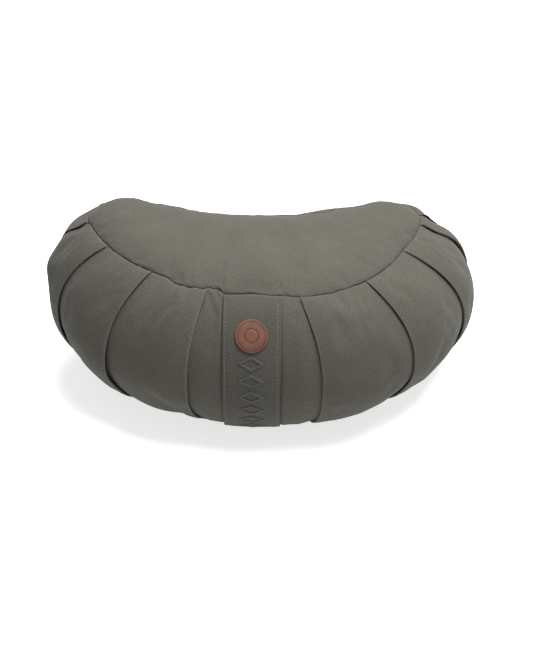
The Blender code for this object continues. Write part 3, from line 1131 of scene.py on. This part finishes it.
def dress(piece, material):
    piece.data.materials.clear()
    piece.data.materials.append(material)


print("mid grey in linear light:", [round(c, 3) for c in linear("#808080")[:3]])

# %% [markdown]
# ## Cotton twill
#
# Twill is woven with a rib that climbs across the cloth. A garment-weight twill has a rib about every
# millimetre, which is too fine to show at this size, so it is drawn at 2 mm: a wave texture on the
# weave's own map, leaned over. Cotton is matt, with a faint bloom of loose fibres, and stone-dyed cloth
# The folded edges are painted a little lighter: a painted highlight for the light that they catch.

# %% Twill
RIB_SPACING = 0.0020
RIB_LEAN = math.radians(-38)
RIB_DARK = 0.91
RIB_LIGHT = 1.07
# At scale 1, Blender's wave texture runs through this many radians in a metre. One rib is 2 pi of them.
WAVE_RADIANS = 20


def cotton_twill(name, hex_colour):
    material, shader = new_material(name)
    place = add_node(material, "ShaderNodeUVMap", uv_map="cloth").outputs["UV"]
    leaned = add_node(material, "ShaderNodeMapping", [("Vector", place)], Rotation=(0, 0, RIB_LEAN))
    scale = 2 * math.pi / (WAVE_RADIANS * RIB_SPACING)
    rib = add_node(
        material, "ShaderNodeTexWave", [("Vector", leaned.outputs["Vector"])],
        bands_direction="Y", Scale=scale, Distortion=1.6, Detail=2.0, Detail_Scale=1.3,
    ).outputs["Fac"]
    fibre = noisy(material, place, 480.0, 3.0, 0.7)
    cloud = noisy(material, place, 22.0, 4.0, 0.6)
    edge = add_node(material, "ShaderNodeAttribute", attribute_name="fold_edge_highlight").outputs["Fac"]
    base = linear(hex_colour)[:3]
    dyed = two_colours(material, rib, (*[c * RIB_DARK for c in base], 1), (*[c * RIB_LIGHT for c in base], 1))
    speckle = varied(material, fibre, 0.80, 1.20)
    faded = varied(material, cloud, 0.95, 1.05)
    # Painted highlight: the folded edges are made up to a quarter lighter, for the light that they catch.
    painted_edge_highlight = varied(material, edge, 1.0, 1.25, 0.0, 1.0)
    factor = combined(material, "MULTIPLY", combined(material, "MULTIPLY", speckle, faded), painted_edge_highlight)
    colour_and_bump(material, shader, dyed, factor, combined(material, "ADD", rib, fibre), 0.24, 0.0004)
    shader.inputs["Roughness"].default_value = 0.95
    shader.inputs["Specular IOR Level"].default_value = 0.12
    shader.inputs["Sheen Weight"].default_value = 0.05
    shader.inputs["Sheen Roughness"].default_value = 0.5
    return material


dress(cover, cotton_twill("cotton_twill", "#413F39"))
dress(band, cotton_twill("cotton_twill_band", "#3E3C37"))
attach(cover, "root")
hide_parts("cushion")
print("cover and band in twill with a rib every", RIB_SPACING * 1000, "mm")

# %% [markdown]
# ## Thread and embroidery
#
# Polyester thread is smoother than cotton and catches the light in short glints. The embroidery is the
# same thread laid in dense rows, and duller. One function makes all three threads: a fine noise varies
# the colour and roughens the surface.

# %% Thread
def polyester_thread(name, hex_colour, roughness):
    material, shader = new_material(name)
    place = add_node(material, "ShaderNodeTexCoord").outputs["Object"]
    fibre = noisy(material, place, 2200.0, 2.0)
    shade = varied(material, fibre, 0.75, 1.25, 0.0, 1.0)
    colour_and_bump(material, shader, linear(hex_colour), shade, fibre, 0.3, 0.0002)
    shader.inputs["Roughness"].default_value = roughness
    shader.inputs["IOR"].default_value = 1.54
    return material


dress(band_stitches, polyester_thread("polyester_thread_grey", "#57544B", 0.6))
# The embroidery's dark colour is painted shade for the shadows round its raised frames.
dress(ornament, polyester_thread("polyester_embroidery", "#2F2E2A", 0.8))
dress(patch_stitches, polyester_thread("polyester_thread_brown", "#24130F", 0.5))
print("threads:", [piece.active_material.name for piece in (band_stitches, ornament, patch_stitches)])

# %% [markdown]
# ## Vegetable-tanned leather
#
# Tanned leather has a fine pebble of pores, a warm brown that varies slowly, and hardly any shine until
# it is waxed. The rim and the pressed ring are burnished, which darkens them: the `burnish` value that
# the patch's points carry mixes the two colours.

# %% Leather
def tanned_leather(name, hex_colour, burnished_hex):
    material, shader = new_material(name)
    place = add_node(material, "ShaderNodeTexCoord").outputs["Object"]
    pores = add_node(material, "ShaderNodeTexVoronoi", [("Vector", place)], Scale=1500.0)
    grain = noisy(material, place, 700.0, 4.0)
    slow = noisy(material, place, 110.0, 3.0)
    shade = varied(material, slow, 0.88, 1.12)
    fine = varied(material, grain, 0.92, 1.08)
    factor = combined(material, "MULTIPLY", shade, fine)
    burnish = add_node(material, "ShaderNodeAttribute", attribute_name="burnish")
    colour = two_colours(material, burnish.outputs["Fac"], linear(hex_colour), linear(burnished_hex))
    height = combined(material, "ADD", pores.outputs["Distance"], grain)
    colour_and_bump(material, shader, colour, factor, height, 0.15, 0.0002)
    shader.inputs["Roughness"].default_value = 0.6
    shader.inputs["Specular IOR Level"].default_value = 0.15
    return material


dress(patch, tanned_leather("vegetable_tanned_leather", "#593B30", "#40302A"))
print("patch in", patch.active_material.name)

# %% [markdown]
# ## Floor and light
#
# A dark, matt object on white shows its folds best in broad light from above. One large soft light
# hangs over the front and a second one stands behind, which draws a light edge on the top. The floor is
# white paper that glows a little, so that it stays white without a stronger light on the cloth, and it
# is wide enough to fill any view.

# %% Studio
FLOOR_HALF = 30.0
FLOOR_GLOW = 0.72
ROOM_LIGHT = 0.30
LIT_PLACE = (0, 0, 0.1)


def stage_floor():
    bm = bmesh.new()
    bmesh.ops.create_grid(bm, x_segments=1, y_segments=1, size=FLOOR_HALF)
    floor = new_piece(bm, "floor")
    material, shader = new_material("pale_paper")
    shader.inputs["Base Color"].default_value = linear("#C8C8C8")
    shader.inputs["Emission Color"].default_value = (1, 1, 1, 1)
    shader.inputs["Emission Strength"].default_value = FLOOR_GLOW
    shader.inputs["Roughness"].default_value = 0.9
    shader.inputs["Specular IOR Level"].default_value = 0.2
    dress(floor, material)


def soft_light(name, place, size, power):
    light = bpy.data.lights.new(name, "AREA")
    light.size = size
    light.energy = power
    lamp = bpy.data.objects.new(name, light)
    lamp.location = place
    lamp.rotation_euler = (Vector(LIT_PLACE) - Vector(place)).to_track_quat("-Z", "Y").to_euler()
    bpy.context.scene.collection.objects.link(lamp)
    print(name, "light:", power, "W,", size, "m wide")


stage_floor()
world = bpy.data.worlds.new("studio")
bpy.context.scene.world = world
world.use_nodes = True
world.node_tree.nodes["Background"].inputs["Color"].default_value = (1, 1, 1, 1)
world.node_tree.nodes["Background"].inputs["Strength"].default_value = ROOM_LIGHT
soft_light("overhead", (0.42, -0.20, 1.7), 0.9, 59)
soft_light("behind", (0.20, 1.00, 1.7), 1.3, 50)
bpy.context.scene.view_settings.view_transform = "Standard"

# %% [markdown]
# ## Camera
#
# The camera looks down on the front from a step away, with a lens a little longer than the eye's view,
# so that the crescent's tips aren't drawn too small. A small shift frames the cushion a little above
# the middle without tilting the camera.

# %% Camera
TARGET = Vector((*(Vector((0.0, -0.040)) + PATTERN_ORIGIN), 0.075))
ELEVATION = math.radians(33)
DISTANCE = 1.45
camera = bpy.data.cameras.new("camera")
camera.lens = 74.0
camera.sensor_width = 36.0
camera.shift_x = 0.0143
camera.shift_y = -0.024
viewer = bpy.data.objects.new("camera", camera)
viewer.location = TARGET + DISTANCE * Vector((0, -math.cos(ELEVATION), math.sin(ELEVATION)))
viewer.rotation_euler = (math.pi / 2 - ELEVATION, 0, 0)
bpy.context.scene.collection.objects.link(viewer)
bpy.context.scene.camera = viewer
print("camera", DISTANCE, "m away,", round(math.degrees(ELEVATION)), "degrees up")
